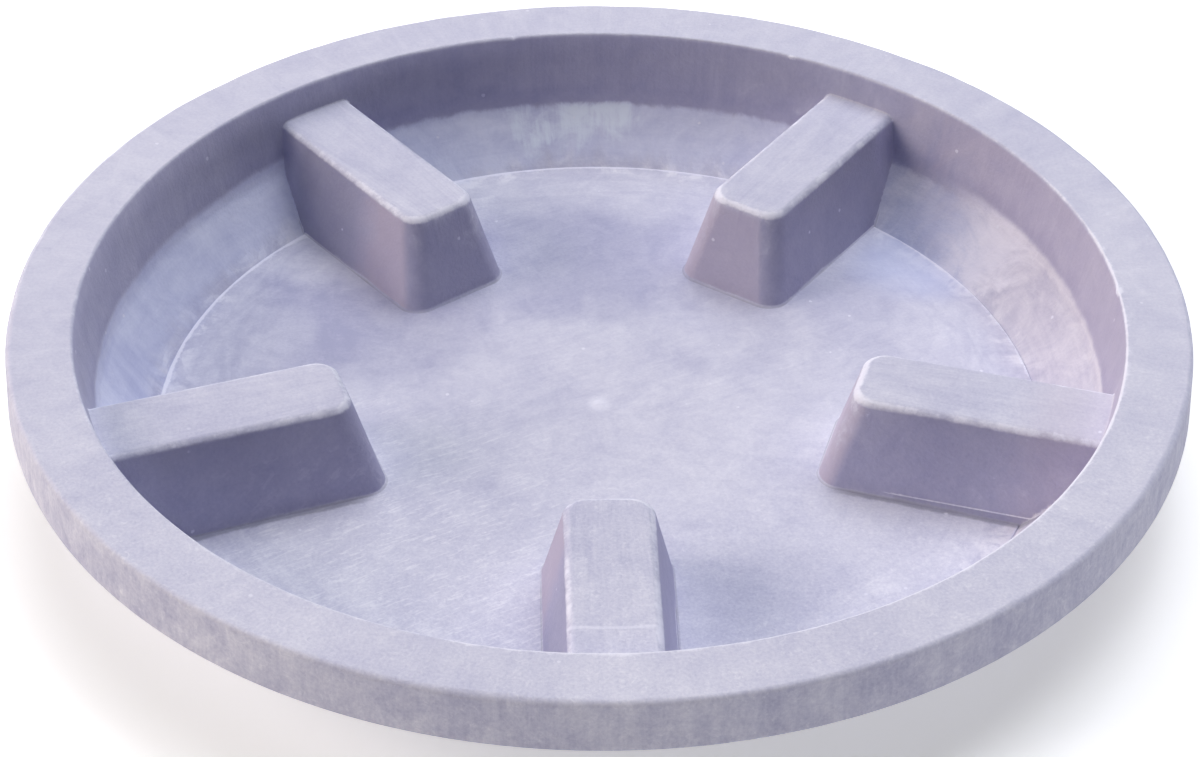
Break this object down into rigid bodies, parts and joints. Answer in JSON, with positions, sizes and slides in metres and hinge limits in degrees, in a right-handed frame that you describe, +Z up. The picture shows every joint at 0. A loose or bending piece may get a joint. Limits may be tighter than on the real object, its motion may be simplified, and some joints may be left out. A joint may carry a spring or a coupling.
{
  "type": "plant saucer",
  "caption": "Round plant saucer with a broad flat rim, a sloped inner cove and raised drafted rests that hold a pot above the water.",
  "frame": {"origin": "centre of the foot ring, on the surface that the saucer stands on", "axes": "+Z up along the saucer's axis, -Y towards the first pot rest, which is at the front"},
  "size_m": [0.305, 0.305, 0.04],
  "materials": {
    "dish_plastic": "matt stone-like moulded plastic with fine brushed scuffs and whitish worn edges",
    "rest_plastic": "matt stone-like moulded plastic, scuffed pale on its upper edges"
  },
  "bodies": {
    "root": {"saucer_dish": "dish_plastic", "pot_rest_1": "rest_plastic", "pot_rest_2": "rest_plastic", "pot_rest_3": "rest_plastic", "pot_rest_4": "rest_plastic", "pot_rest_5": "rest_plastic"}
  },
  "joints": []
}
